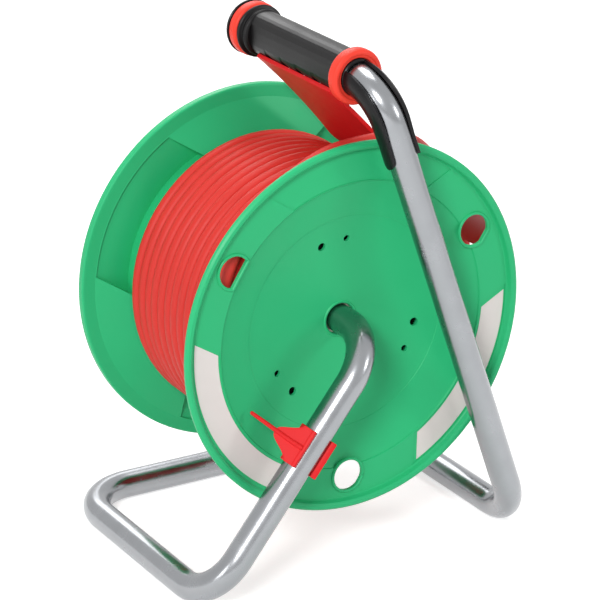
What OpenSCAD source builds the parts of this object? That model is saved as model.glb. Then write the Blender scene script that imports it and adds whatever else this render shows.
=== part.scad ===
// Portable cable reel on a bent tube stand: a drum with its extension lead, three
// covered sockets, a carrying handle with a cable guide, and a drum brake clip.
// The flange on the side of the legs, called the rear one, faces -Y. Z is up and the
// floor is z = 0. The origin is under the middle of everything but the hanging lead.

/* [Drum] */
// Diameter over the two flanges
flange_d = 290; // [270:1:300]
// Width over the two rims
drum_w = 170; // [166:1:171]
// Wall of the flanges and the barrel
shell = 2.6; // [2:0.1:3.2]
// Width of the raised rim at the edge of a flange
lip_w = 7; // [5:0.5:9]
// Height of the raised rim above the flat ring beside it
lip_h = 5.5; // [4:0.5:6]
// Radius where the flat ring of the rear flange ends and its dish begins
ring_in_r = 113; // [110:1:116]
// Depth of the rear dish, from the flat ring to the hub
dish_depth = 19; // [17:0.5:21]
// Depth of the front cone, from the rim to the socket panel
cone_depth = 33.5; // [32:0.5:35]
// Outer radius of the barrel that the cable is wound on
barrel_r = 73; // [71:0.5:75]
// Radius of the circle of screws that hold the drum together
screw_pcd_r = 65; // [62:0.5:66]

/* [Finger holes] */
// Radius of a finger hole
finger_r = 12.3; // [9:0.1:13]
// Distance of the finger holes from the drum axis
finger_at = 120; // [117:1:123]

/* [Winding] */
// Diameter of the cable
cable_d = 9.2; // [8:0.1:9.2]
// Middle radius of the outer layer of cable
layer_r = 108.5; // [104:0.5:110]
// Turns in the outer layer
layer_turns = 12; // [6:1:12]
// Step from one turn to the next
layer_pitch = 9.8; // [9.7:0.01:9.85]

/* [Stand] */
// Outer diameter of the stand tube
tube_d = 22; // [20:0.5:23]
// Wall of the stand tube
tube_wall = 1.5; // [1:0.1:2]
// Height of the drum axis above the floor
axle_h = 191; // [185:1:200]
// Distance between the middles of the two floor bars
base_w = 280; // [270:1:300]
// Distance from the middle of the drum to the plane of the axle leg
axle_leg_out = 111; // [110:1:118]
// Distance from the middle of the drum to the plane of the handle leg
handle_leg_out = 104; // [103:1:110]
// Distance from the middle of the drum to the bar on the floor behind it
back_bar_out = 101; // [99:1:112]
// Bend radius of the tube in the stand
bend_r = 38; // [34:1:42]
// Bend radius of the tube at the handle
handle_bend_r = 30; // [28:1:31]

/* [Handle] */
// Height of the middle of the handle above the floor
handle_h = 382; // [380:1:392]
// Radius of the grip
grip_r = 16.5; // [15.5:0.1:18]
// Outer radius of the two grip rings
ring_r = 21; // [20:0.1:23]
// Width of a grip ring
ring_w = 10; // [8:0.5:12]
// Distance of the middles of the two rings from the middle of the drum
ring_at = 71; // [68:0.5:74]

/* [Cable guide] */
// Wall of the cable guide
guide_t = 3; // [2:0.5:4]
// Width of the cable guide along the drum
guide_w = 103; // [80:1:106]
// Radius of the rounded corners at the guide's lower end
guide_corner_r = 45; // [20:1:50]

/* [Drum brake] */
// Distance of the brake clip from the axle corner, down the leg
clip_at = 95; // [90:1:110]
// Length of the brake clip on the leg
clip_len = 30; // [24:1:36]
// Wall of the brake clip
clip_t = 3; // [2:0.5:3.5]
// How far the finger reaches from the lip of the clip
finger_reach = 48; // [40:1:48]

/* [Sockets] */
// Radius of the socket panel
panel_r = 69; // [66:0.5:69.5]
// Distance of the sockets from the drum axis
socket_at = 33; // [32:0.5:34]
// Radius of a socket's recess
socket_r = 19.5; // [19:0.1:20]
// Depth of a socket's recess
socket_depth = 17.5; // [16:0.5:18]
// Distance between the two pins of a plug
pin_gap = 19; // [18:0.5:20]
// Diameter of a plug's pin
pin_d = 4.8; // [4:0.1:5]
// Radius of a socket's lid
lid_r = 22.5; // [22:0.1:23.5]

/* [Crank knob] */
// Distance of the crank knob from the edge of the flange
knob_in = 27; // [25:1:31]
// Radius of the crank knob
knob_r = 12; // [10:0.5:14]
// Length of the crank knob
knob_len = 30; // [24:1:32]

/* [Plug] */
// Radius of the plug's body
plug_r = 18.5; // [17:0.5:20]
// Length of the plug's body
plug_len = 34; // [30:1:38]

/* [Hidden] */

$fn = 96;
fit_run = 0.06;      // running clearance on a shaft
gap = 0.3;           // clearance between pieces that move past each other
eps = 0.01;
soft_fn = 32;

// ---- places: the guide reaches past the floor bars, so the stand sits off the origin ----
stand_x = -4.6;
drum_x = stand_x - 1;
drum_y = (axle_leg_out - back_bar_out) / 2;
flange_r = flange_d / 2;
rim_z = drum_w / 2;
tube_r = tube_d / 2;
cable_r = cable_d / 2;

// ---- drum frame: +z towards the rear flange, x to the right, y up ----
module on_drum() {
  translate([drum_x, drum_y, axle_h]) rotate([90, 0, 0]) children();
}
module on_circle(r, angles) {
  for (a = angles) rotate(a) translate([r, 0, 0]) children();
}
module tube(r_out, r_in, z0, z1) {
  translate([0, 0, z0]) difference() {
    cylinder(r = r_out, h = z1 - z0);
    translate([0, 0, -1]) cylinder(r = r_in, h = z1 - z0 + 2);
  }
}

// ---- sizes of the drum ----
ring_z = rim_z - lip_h;                 // outer face of the rear flat ring
hub_z = ring_z - dish_depth;            // face of the rear hub
hub_hole_r = tube_r + 0.9;
hub_ring_r = tube_r + 3.5;
bush_r = tube_r + 3;
bush_seat_z = hub_z - 4;
rear_bush_len = 18;
hub_boss_r = bush_r + 3.5;
step_w = 8;                             // width of the slope round the dish
step_h = 5.5;                           // its height
dish_r = ring_in_r - step_w;
dish_power = 2.2;                       // how the dish curves up to its edge
dish_pts = 9;
function dish_z(r) =
  let (t = (r - hub_ring_r) / (dish_r - hub_ring_r))
  hub_z + (ring_z - step_h - hub_z) * pow(max(t, 0), dish_power);
function arc_pts(c, r, a0, a1, n) =
  [for (i = [0:n]) let (a = a0 + (a1 - a0) * i / n) [c[0] + r * cos(a), c[1] + r * sin(a)]];
lip_in_r = flange_r - lip_w;
lip_round = 2;
large_screws = [108.2, -11.8, -131.8];
small_screws = [89, -31, -151];
large_hole_r = 3.25;
small_hole_r = 2.5;
large_shank_r = 1.9;
small_shank_r = 1.6;
finger_angles = [149, 29, -91];
finger_flat_at = [-4.9, -11.2, -12];    // the flat's distance from the hole's middle
finger_flat_dir = [148, 146.5, 148];    // where the side with no flat points
finger_rim = 2.3;                       // width of the moulded rim round a finger hole

// ---- front flange: a cone down to the panel ----
cone_z = -rim_z + cone_depth;           // outer face where the cone ends
cone_out_r = lip_in_r;
cone_mid_r = 104;
cone_mid_z = -rim_z + 18.4;             // outer face at the knee of the cone
barrel_in_r = barrel_r - shell;

// ---- winding ----
core_r = layer_r - cable_r - 1.4;
layer_z0 = -59.9;
layer_z1 = layer_z0 + layer_turns * layer_pitch;
slot_z = ring_z - step_h - shell - cable_r + 0.6; // middle of the last turn, which leads off

// ---- sweep of a round tube along points, with the rings facing along the path ----
function unit(v) = v / norm(v);
function along(p, i) =
  i == 0 ? unit(p[1] - p[0]) :
  i == len(p) - 1 ? unit(p[i] - p[i - 1]) :
  unit(unit(p[i + 1] - p[i]) + unit(p[i] - p[i - 1]));
function side_next(t, s) = unit(s - t * (s * t));
function sides(p, i, s) =
  i == len(p) ? [] :
  let (n = side_next(along(p, i), s)) concat([n], sides(p, i + 1, n));
function ring_pts(c, t, s, r, n) =
  let (b = cross(t, s)) [for (k = [0:n - 1]) c + r * (cos(360 * k / n) * s + sin(360 * k / n) * b)];
module sweep(p, r, n, s0) {
  ss = sides(p, 0, s0);
  pts = [for (i = [0:len(p) - 1]) each ring_pts(p[i], along(p, i), ss[i], r, n)];
  m = len(p) - 1;
  walls = [for (i = [0:m - 1], k = [0:n - 1])
    let (a = i * n + k, b = i * n + (k + 1) % n) each [[a, b, a + n], [b, b + n, a + n]]];
  start = [for (k = [1:n - 2]) [0, k + 1, k]];
  end = [for (k = [1:n - 2]) [m * n, m * n + k, m * n + k + 1]];
  polyhedron(points = pts, faces = concat(walls, start, end), convexity = 10);
}

// ---- a bent tube in stretches, each with every bend through 90 degrees ----
function seg_dir(p, i) = unit(p[i + 1] - p[i]);
function straight(p, r, i) = norm(p[i + 1] - p[i]) - r[i] - r[i + 1];
module frame_of(ex, ey, ez, c) {
  multmatrix([[ex[0], ey[0], ez[0], c[0]], [ex[1], ey[1], ez[1], c[1]],
              [ex[2], ey[2], ez[2], c[2]], [0, 0, 0, 1]]) children();
}
module ring_section(r_out, r_in) {
  difference() {
    circle(r = r_out);
    circle(r = r_in);
  }
}
// from z to x with the bend's radius b
module bend(b, r_out, r_in) {
  frame_of([-1, 0, 0], [0, 0, 1], [0, 1, 0], [b, 0, 0])
    rotate_extrude(angle = 90) translate([b, 0]) ring_section(r_out, r_in);
}
module after_bend(b) {
  frame_of([0, 0, -1], [0, 1, 0], [1, 0, 0], [b, 0, b]) children();
}
// the bend at corner k, the straight after it, the next bend and its straight
module stretch(p, r, r_out, r_in, k) {
  d0 = seg_dir(p, k - 1);
  d1 = seg_dir(p, k);
  frame_of(d1, cross(d0, d1), d0, p[k] - d0 * r[k]) {
    bend(r[k], r_out, r_in);
    after_bend(r[k]) {
      linear_extrude(straight(p, r, k)) ring_section(r_out, r_in);
      translate([0, 0, straight(p, r, k)]) {
        bend(r[k + 1], r_out, r_in);
        after_bend(r[k + 1]) linear_extrude(straight(p, r, k + 1)) ring_section(r_out, r_in);
      }
    }
  }
}

// ---- stand ----
axle_end_z = -1;                        // where the axle tube ends, in the drum frame
stand_pts = [
  [drum_x, drum_y - axle_end_z, axle_h],
  [drum_x, drum_y - axle_leg_out, axle_h],
  [stand_x - base_w / 2, drum_y - axle_leg_out, tube_r],
  [stand_x - base_w / 2, drum_y + back_bar_out, tube_r],
  [stand_x + base_w / 2, drum_y + back_bar_out, tube_r],
  [stand_x + base_w / 2, drum_y - handle_leg_out, tube_r],
  [stand_x, drum_y - handle_leg_out, handle_h],
  [stand_x, drum_y + ring_at + ring_w / 2, handle_h]
];
stand_bends = [0, bend_r, bend_r, bend_r + 6, bend_r + 2, bend_r, handle_bend_r, 0];
cross_pin_r = 2;
cross_pin_z = 1.5;
cross_pin_len = 32;
module axle_bar() {
  color("silver") on_drum() difference() {
    translate([0, 0, axle_end_z]) linear_extrude(straight(stand_pts, stand_bends, 0))
      ring_section(tube_r, tube_r - tube_wall);
    translate([-cross_pin_len, 0, cross_pin_z]) rotate([0, 90, 0])
      cylinder(r = cross_pin_r, h = 2 * cross_pin_len);
  }
}
module axle_leg() {
  color("silver") stretch(stand_pts, stand_bends, tube_r, tube_r - tube_wall, 1);
}
module back_bar() {
  color("silver") stretch(stand_pts, stand_bends, tube_r, tube_r - tube_wall, 3);
}
module handle_leg() {
  color("silver") stretch(stand_pts, stand_bends, tube_r, tube_r - tube_wall, 5);
}

// ---- what holds the drum on the axle ----
inner_bush_z0 = 6;
inner_bush_z1 = 24;
web_z0 = inner_bush_z0 + 5;
washer_t = 1.5;
module axle_washer() {
  color("gainsboro") on_drum()
    tube(tube_r + 9, tube_r + 0.2, cross_pin_z + cross_pin_r, cross_pin_z + cross_pin_r + washer_t);
}
module axle_collar() {
  color("dimgray") on_drum() tube(tube_r + 4, tube_r, inner_bush_z1 + gap, inner_bush_z1 + gap + 3);
}
module axle_cross_pin() {
  color("gainsboro") on_drum() translate([-cross_pin_len / 2, 0, cross_pin_z]) rotate([0, 90, 0])
    cylinder(r = cross_pin_r, h = cross_pin_len);
}
module axle_end_plug() {
  plug_in = 12;
  color("black") on_drum() difference() {
    union() {
      translate([0, 0, axle_end_z - 1.5]) cylinder(r = tube_r, h = 1.5);
      translate([0, 0, axle_end_z - eps]) cylinder(r = tube_r - tube_wall, h = plug_in);
    }
    translate([-cross_pin_len, 0, cross_pin_z]) rotate([0, 90, 0])
      cylinder(r = cross_pin_r, h = 2 * cross_pin_len);
  }
}

// ---- handle: y runs along the handle, seen from the middle of the drum ----
handle_y0 = drum_y - ring_at;
handle_y1 = drum_y + ring_at;
sleeve_r = tube_r + 3;
module on_handle(y) {
  translate([stand_x, y, handle_h]) rotate([-90, 0, 0]) children();
}
grip_y0 = handle_y0 + ring_w / 2;
grip_y1 = handle_y1 - ring_w / 2;
grip_len = grip_y1 - grip_y0;
groove_r = 14;
groove_count = 4;
collar_w = 9;
module grip_outline(r) {
  intersection() {
    circle(r = r * 1.04);
    rotate(22.5 - 12) circle(r = r * 1.075, $fn = 8);
  }
}
module handle_grip() {
  color([0.1, 0.1, 0.1]) difference() {
    on_handle(grip_y0) union() {
      linear_extrude(grip_len) grip_outline(grip_r);
      translate([0, 0, grip_len - collar_w]) cylinder(r1 = grip_r + 0.5, r2 = grip_r + 3, h = collar_w);
    }
    on_handle(grip_y0 - 1) cylinder(r = tube_r, h = grip_len + 2);
    for (i = [0:groove_count - 1])
      translate([stand_x, grip_y0 + 18 + i * 22, handle_h - grip_r - groove_r + 2.2]) rotate([0, 90, 0])
        translate([0, 0, -30]) cylinder(r = groove_r, h = 60);
  }
}
module ring_solid(y, w) {
  rr = 3;
  on_handle(y - w / 2) rotate_extrude() difference() {
    translate([sleeve_r + gap, 0]) square([ring_r - sleeve_r - gap, w]);
    for (c = [0, w]) translate([ring_r, c]) difference() {
      square(2 * rr, center = true);
      translate([-rr, c > 0 ? -rr : rr]) circle(r = rr, $fn = soft_fn);
    }
  }
}
module ring_near() {
  color([0.86, 0.25, 0.2]) ring_solid(handle_y0, ring_w);
}
module ring_far() {
  color([0.86, 0.25, 0.2]) ring_solid(handle_y1, ring_w);
}
module handle_end_cap() {
  cap_t = 2.5;
  cap_round = 1.5;
  cap_r = ring_r + gap;
  color("black") on_handle(handle_y1 + ring_w / 2) rotate_extrude() polygon(concat(
    [[0, 0], [cap_r, 0]],
    arc_pts([cap_r - cap_round, cap_t - cap_round], cap_round, 0, 90, 6),
    [[0, cap_t]]));
}

// ---- fork: a sleeve inside the near ring and two prongs that hug the bend ----
fork_wall = 3;
prong_half = 38;                        // half the angle that a prong covers
prong_run = 32;                         // length of the straight part of a prong
fork_in_r = tube_r + 0.15;
leg_dir = unit(stand_pts[5] - stand_pts[6]);
prong_steps = 8;
module prong_section() {
  for (m = [90, -90]) polygon(concat(
    arc_pts([0, 0], fork_in_r + fork_wall, m - prong_half, m + prong_half, prong_steps),
    arc_pts([0, 0], fork_in_r, m + prong_half, m - prong_half, prong_steps)));
}
module handle_fork() {
  color([0.08, 0.08, 0.08]) on_handle(handle_y0 - ring_w / 2)
    linear_extrude(ring_w) ring_section(sleeve_r, fork_in_r);
}
prong_bend_y = drum_y - handle_leg_out + handle_bend_r;
prong_from = asin(max(0, prong_bend_y - handle_y0 + ring_w / 2) / handle_bend_r);
module fork_prongs() {
  b = handle_bend_r;
  color([0.08, 0.08, 0.08])
    frame_of(leg_dir, cross([0, -1, 0], leg_dir), [0, -1, 0], [stand_x, prong_bend_y, handle_h]) {
      frame_of([-1, 0, 0], [0, 0, 1], [0, 1, 0], [b, 0, 0]) rotate([0, 0, prong_from])
        rotate_extrude(angle = 90 - prong_from) translate([b, 0]) prong_section();
      frame_of([0, 0, -1], [0, 1, 0], [1, 0, 0], [b, 0, b]) linear_extrude(prong_run) prong_section();
    }
}

// ---- cable guide: a bent plate hung from the handle, whose lip leads the cable off ----
guide_start_x = stand_x - 11;           // where the plate meets the underside of the grip
guide_start_drop = 13.4;                // how far that lies under the handle's axis
// Each point of the plate's line: the angle about the drum's axis, and its share of
// the way from the line's nearest point to the drum up to its start at the grip.
guide_clear = 6;                        // least room between the plate and the winding
guide_near_r = layer_r + cable_r + guide_clear;
guide_start_r = norm([guide_start_x - drum_x, handle_h - guide_start_drop - axle_h]);
guide_shape = [
  [93.2, 1.0], [88.6, 0.776], [83.4, 0.564], [77.5, 0.37], [70.7, 0.196], [63.0, 0.049], [61.1, 0.023],
  [59.0, 0.007], [56.9, 0.0], [54.8, 0.004], [52.7, 0.017], [45.7, 0.09], [39.1, 0.178], [32.8, 0.278],
  [27.0, 0.388], [21.5, 0.507], [18.3, 0.572], [15.0, 0.622], [11.7, 0.656], [8.4, 0.675], [5.1, 0.677]
];
guide_line = [for (q = guide_shape) let (r = guide_near_r + (guide_start_r - guide_near_r) * q[1])
  [drum_x + r * cos(q[0]), axle_h + r * sin(q[0])]];
function offset_line(l, d) = [for (i = [0:len(l) - 1])
  let (t = i == 0 ? l[1] - l[0] : i == len(l) - 1 ? l[i] - l[i - 1] : l[i + 1] - l[i - 1], u = t / norm(t))
  l[i] + d * [-u[1], u[0]]];
function reversed(l) = [for (i = [len(l) - 1:-1:0]) l[i]];
guide_mid_y = drum_y - 3.5;
guide_end = guide_line[len(guide_line) - 1];
guide_end_dir = unit(guide_end - guide_line[len(guide_line) - 3]);
module guide_strip(line, t, w) {
  translate([0, guide_mid_y + w / 2, 0]) rotate([90, 0, 0])
    linear_extrude(w) polygon(concat(line, reversed(offset_line(line, t))));
}
// cuts the two lower corners of the plate round
module guide_corners() {
  far = 60;
  r = guide_corner_r;
  // x along the last stretch of the plate, y across it
  frame_of([guide_end_dir[0], 0, guide_end_dir[1]], [0, 1, 0], [-guide_end_dir[1], 0, guide_end_dir[0]],
           [guide_end[0], guide_mid_y, guide_end[1]])
    for (s = [-1, 1]) translate([-r, s * (guide_w / 2 - r), -far]) linear_extrude(2 * far) difference() {
      translate([0, s > 0 ? 0 : -r - 5]) square([r + 5, r + 5]);
      circle(r = r);
    }
}
module cable_guide() {
  color([0.8, 0.12, 0.14]) difference() {
    guide_strip(guide_line, guide_t, guide_w);
    guide_corners();
    on_handle(grip_y0 - 1) linear_extrude(grip_len + 2) grip_outline(grip_r);
  }
}

// ---- drum brake: a spring clip on the axle leg with a finger towards the dish ----
axle_leg_dir = unit(stand_pts[1] - stand_pts[2]);
axle_leg_tilt = atan2(axle_leg_dir[0], axle_leg_dir[2]);
clip_in_r = tube_r + 0.05;
clip_out_r = clip_in_r + clip_t;
mouth_half = 56;                        // half the angle of the clip's mouth
finger_dir = 124;                       // direction of the finger, from the x axis
finger_w = 3.4;
finger_tip_w = 2.6;
module on_axle_leg(s) {
  translate(stand_pts[1] - axle_leg_dir * s) rotate([0, axle_leg_tilt, 0]) children();
}
web_reach = 0.52;                       // share of the finger's reach that the web takes
module brake_clip() {
  color([0.8, 0.12, 0.14]) on_axle_leg(clip_at) union() {
    translate([0, 0, -clip_len / 2]) linear_extrude(clip_len) {
      difference() {
        ring_section(clip_out_r, clip_in_r);
        polygon([[0, 0], for (a = [-90 - mouth_half, -90, -90 + mouth_half])
          3 * tube_r * [cos(a), sin(a)]]);
      }
      // the lips, turned out at the mouth
      for (s = [-1, 1]) rotate(-90 + s * mouth_half) translate([clip_in_r, s > 0 ? 0 : -2])
        square([clip_t + 3, 2]);
    }
    // web and finger stand on a plane that touches the clip's side
    rotate(finger_dir) translate([0, clip_in_r + 0.4, 0]) rotate([-90, 0, 0]) {
      linear_extrude(clip_t) polygon(concat(
        [[-4, -clip_len / 2], [-4, clip_len / 2]],
        [for (t = [0:0.125:1]) [t * finger_reach * web_reach,
          clip_len / 2 - (clip_len - finger_w) / 2 * sin(90 * t)]],
        [for (t = [1:-0.125:0]) [t * finger_reach * web_reach,
          -clip_len / 2 + (clip_len - finger_w) / 2 * sin(90 * t)]]));
      linear_extrude(clip_t + 2) polygon(
        [[-7, -finger_w / 2], [-7, finger_w / 2], [finger_reach - 7, finger_tip_w / 2],
         [finger_reach - 7, -finger_tip_w / 2]]);
      translate([finger_reach - 7, 0, 0]) cylinder(r = finger_tip_w / 2, h = clip_t + 2);
    }
  }
}

// ---- rear flange, with a dish, finger holes and a hub ----
function dish_line(dz) = [for (i = [0:dish_pts])
  let (r = hub_ring_r + (dish_r - hub_ring_r) * i / dish_pts) [r, dish_z(r) + dz]];
rear_outline = concat(
  dish_line(0),
  [[ring_in_r, ring_z], [lip_in_r, ring_z], [lip_in_r + lip_round, rim_z]],
  arc_pts([flange_r - lip_round, rim_z - lip_round], lip_round, 90, 0, 4),
  [[flange_r, rim_z - 4.5], [flange_r - 2.5, ring_z - shell], [ring_in_r + 2, ring_z - shell]],
  reversed(dish_line(-shell)));
finger_flats = [0, 1, 2];
module finger_shape(i, grow) {
  intersection() {
    circle(r = finger_r + grow);
    rotate(finger_flat_dir[i]) translate([finger_flat_at[i] - grow, -2 * finger_r])
      square(4 * finger_r);
  }
}
module at_finger_hole(i) {
  a = finger_angles[i];
  translate([finger_at * cos(a), finger_at * sin(a), 0]) children();
}
screw_boss_r = 4.8;
screw_boss_len = 12;
head_depth = 7;                         // how deep the screw heads sit below the dish
module rear_flange() {
  dish_at_screw = dish_z(screw_pcd_r);
  color([0.16, 0.65, 0.42]) on_drum() difference() {
    union() {
      rotate_extrude() polygon(rear_outline);
      tube(hub_boss_r, bush_r, bush_seat_z - rear_bush_len, hub_z - 1);
      tube(hub_ring_r + 0.5, hub_hole_r, bush_seat_z, hub_z + 0.8);
      on_circle(screw_pcd_r, concat(large_screws, small_screws))
        translate([0, 0, dish_at_screw - screw_boss_len]) cylinder(r = screw_boss_r, h = screw_boss_len - 1);
      for (i = finger_flats) at_finger_hole(i) translate([0, 0, ring_z - eps])
        linear_extrude(0.8) finger_shape(i, finger_rim);
    }
    translate([0, 0, bush_seat_z - 1]) cylinder(r = hub_hole_r, h = 20);
    on_circle(screw_pcd_r, large_screws) {
      translate([0, 0, dish_at_screw - head_depth]) cylinder(r = large_hole_r, h = 20);
      translate([0, 0, dish_at_screw - 20]) cylinder(r = large_shank_r, h = 30);
    }
    on_circle(screw_pcd_r, small_screws) {
      translate([0, 0, dish_at_screw - head_depth]) cylinder(r = small_hole_r, h = 20);
      translate([0, 0, dish_at_screw - 20]) cylinder(r = small_shank_r, h = 30);
    }
    for (i = finger_flats) at_finger_hole(i) translate([0, 0, ring_z - step_h - shell - 1])
      linear_extrude(step_h + shell + 4) finger_shape(i, 0);
  }
}

// ---- front flange: the side with the sockets ----
knob_a = -40;
knob_at = flange_r - knob_in;
knob_seat_z = -rim_z + 8;
knob_boss_len = 11;
front_outline = [
  [barrel_in_r, cone_z], [barrel_r + 2, cone_z], [cone_mid_r, cone_mid_z], [cone_out_r, -rim_z + lip_h],
  [lip_in_r + lip_round, -rim_z], [flange_r - lip_round, -rim_z], [flange_r, -rim_z + lip_round],
  [flange_r, -rim_z + lip_h + shell], [cone_out_r, -rim_z + lip_h + shell],
  [cone_mid_r, cone_mid_z + shell], [barrel_r + 2, cone_z + shell], [barrel_in_r, cone_z + shell]];
module front_flange() {
  color([0.16, 0.65, 0.42]) on_drum() difference() {
    union() {
      rotate_extrude() polygon(front_outline);
      on_circle(knob_at, [knob_a]) translate([0, 0, knob_seat_z]) cylinder(r = 8, h = knob_boss_len);
    }
    on_circle(knob_at, [knob_a]) translate([0, 0, knob_seat_z - 1]) cylinder(r = 4, h = 40);
  }
}

// ---- barrel with its web and screw pillars ----
web_t = 3;
barrel_z0 = cone_z + shell;
barrel_z1 = dish_z(barrel_in_r) - shell - 0.2;
pillar_r = 4.6;
pillar_z1 = dish_z(screw_pcd_r) - screw_boss_len;
module barrel() {
  color([0.16, 0.65, 0.42]) on_drum() difference() {
    union() {
      tube(barrel_r, barrel_in_r, barrel_z0, barrel_z1);
      tube(barrel_in_r + 1, bush_r + 1, web_z0, web_z0 + web_t);
      tube(hub_boss_r, bush_r, inner_bush_z0, inner_bush_z1);
      on_circle(screw_pcd_r, concat(large_screws, small_screws))
        translate([0, 0, web_z0]) cylinder(r = pillar_r, h = pillar_z1 - web_z0);
    }
    on_circle(screw_pcd_r, large_screws) translate([0, 0, pillar_z1 - 16]) cylinder(r = large_shank_r, h = 20);
    on_circle(screw_pcd_r, small_screws) translate([0, 0, pillar_z1 - 16]) cylinder(r = small_shank_r, h = 20);
  }
}
module rear_bush() {
  color("ivory") on_drum() tube(bush_r, tube_r + fit_run, bush_seat_z - rear_bush_len, bush_seat_z);
}
module inner_bush() {
  color("ivory") on_drum() tube(bush_r, tube_r + fit_run, inner_bush_z0, inner_bush_z1);
}
module sunk_screw(head_r, shank_r) {
  z = dish_z(screw_pcd_r) - head_depth;
  translate([0, 0, z]) difference() {
    cylinder(r = head_r, h = 3);
    translate([0, 0, 1.6]) cylinder(r = head_r * 0.5, h = 3, $fn = 6);
  }
  translate([0, 0, pillar_z1 - 14]) cylinder(r = shank_r, h = z - pillar_z1 + 14 + eps);
}
module drum_screws() {
  color("dimgray") on_drum() {
    on_circle(screw_pcd_r, large_screws) sunk_screw(large_hole_r - 0.2, large_shank_r);
    on_circle(screw_pcd_r, small_screws) sunk_screw(small_hole_r - 0.2, small_shank_r);
  }
}

// ---- winding: a plain core under a plain ring that stands for the outer layer ----
core_gap = 0.25;
module winding_core() {
  core_z0 = cone_z + shell + core_gap;
  core_knee_z = cone_mid_z + shell + core_gap;
  color([0.78, 0.2, 0.17]) on_drum() rotate_extrude() polygon(concat(
    [[barrel_r + core_gap, core_z0 + 1.2], [core_r, core_knee_z + 1.2], [core_r, dish_z(core_r) - shell - core_gap]],
    [for (i = [0:4]) let (r = core_r - (core_r - barrel_r - core_gap) * i / 4) [r, dish_z(r) - shell - core_gap - 0.4]]));
}
module cable_layer() {
  color([0.88, 0.26, 0.22]) on_drum() rotate_extrude() polygon(concat(
    [[core_r + gap, layer_z0]], arc_pts([layer_r, layer_z0], cable_r, 180, 360, 12),
    arc_pts([layer_r, layer_z1], cable_r, 0, 180, 12), [[core_r + gap, layer_z1]]));
}

// ---- lead: the last turn, held beside the flange, then off over the guide and down ----
lead_from = 140;                        // angle where the last turn begins
lead_to = -195;                         // angle where it starts to rise
lead_rings = 23;
rise_a = [175 - 360, 163 - 360, 150 - 360, 137 - 360, 124 - 360, 111 - 360];
rise_r = [109, 112, 117, 123, 129, 133.5];
lead_turn = [for (i = [0:lead_rings]) let (a = lead_from + (lead_to + 10 - lead_from) * i / lead_rings)
  [drum_x + layer_r * cos(a), drum_y - slot_z, axle_h + layer_r * sin(a)]];
lead_rise = [for (i = [1:5]) let (a = rise_a[i] + 360, r = rise_r[i])
  [drum_x + r * cos(a), drum_y - slot_z - 0.45 * i, axle_h + r * sin(a)]];
// the hand-laid route from the top of the drum, over the guide, to the hanging plug
lead_route = [
  [-31.5, -65.5, 327], [-12.5, -65.5, 330.5], [6.5, -65.5, 331.5], [24.5, -65, 331], [41.5, -62, 327],
  [56.5, -55, 320], [70.5, -45, 310], [84.5, -33.5, 299], [98.5, -22, 288], [112.5, -11, 277.5],
  [126.5, -1, 266.5], [139.5, 8, 254.5], [149.5, 15.5, 240], [158, 21, 223], [161.5, 25, 205],
  [163, 27, 187], [163.5, 28, 172], [163.5, 28, 159], [163.5, 28, 147]
];
plug_top = [163.5, 28, 147];
lead_path = concat(lead_turn, lead_rise, lead_route);
module lead() {
  color([0.88, 0.26, 0.22]) sweep(lead_path, cable_r, 8, [1, 0, 0]);
}
relief_len = 30;
module plug_body() {
  color([0.1, 0.1, 0.1]) translate(plug_top) rotate([180, 0, 0]) {
    cylinder(r1 = cable_r + 1, r2 = 8, h = relief_len);
    translate([0, 0, relief_len - eps]) rotate_extrude() polygon(concat(
      [[0, 0], [8, 0]], arc_pts([plug_r - 6, 8], 6, -60, 0, 5),
      [[plug_r, plug_len], [0, plug_len]]));
  }
}
module on_plug_face() {
  translate(plug_top - [0, 0, relief_len + plug_len]) rotate([180, 0, 0]) children();
}
pin_len = 19;
module plug_pins() {
  color("gainsboro") on_plug_face() for (s = [-1, 1]) translate([0, s * pin_gap / 2, 0])
    union() {
      cylinder(r = pin_d / 2, h = pin_len - 1);
      translate([0, 0, pin_len - 1]) cylinder(r1 = pin_d / 2, r2 = pin_d / 2 - 1, h = 1);
    }
}
module plug_earth_strips() {
  color("gainsboro") on_plug_face() for (s = [-1, 1])
    translate([s > 0 ? plug_r : -plug_r - 0.8, -3, -16]) cube([0.8, 6, 15]);
}

// ---- socket panel in the front of the drum: z runs out of the sockets here ----
module on_front() {
  translate([drum_x, drum_y, axle_h]) rotate([-90, 0, 0]) rotate([0, 0, 180]) children();
}
panel_face = -cone_z + 1;               // outer face of the panel, from the drum's middle
panel_t = 3;
panel_wall = 16;                        // depth of the panel's skirt
socket_angles = [90, 210, 330];
cup_wall = 2;
cup_r = socket_r + cup_wall;
cup_floor = 3;
button_at = 52;
button_a = 30;
button_r = 6;
panel_screw_a = [150, 270];
panel_screw_at = 55;
module socket_panel() {
  color([0.13, 0.13, 0.14]) on_front() difference() {
    union() {
      translate([0, 0, panel_face - panel_t]) cylinder(r = panel_r, h = panel_t);
      tube(panel_r, panel_r - 2, panel_face - panel_wall, panel_face);
      on_circle(socket_at, socket_angles) tube(cup_r + 2.2, cup_r, panel_face - 8, panel_face + 1.5);
      for (a = socket_angles) rotate(a) translate([socket_at, 0, 0]) lid_ears();
    }
    on_circle(socket_at, socket_angles) translate([0, 0, panel_face - 20]) cylinder(r = cup_r, h = 30);
    on_circle(button_at, [button_a]) translate([0, 0, panel_face - 20]) cylinder(r = button_r + 2, h = 30);
    on_circle(panel_screw_at, panel_screw_a) translate([0, 0, panel_face - 20]) cylinder(r = 2, h = 30);
  }
}
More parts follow.
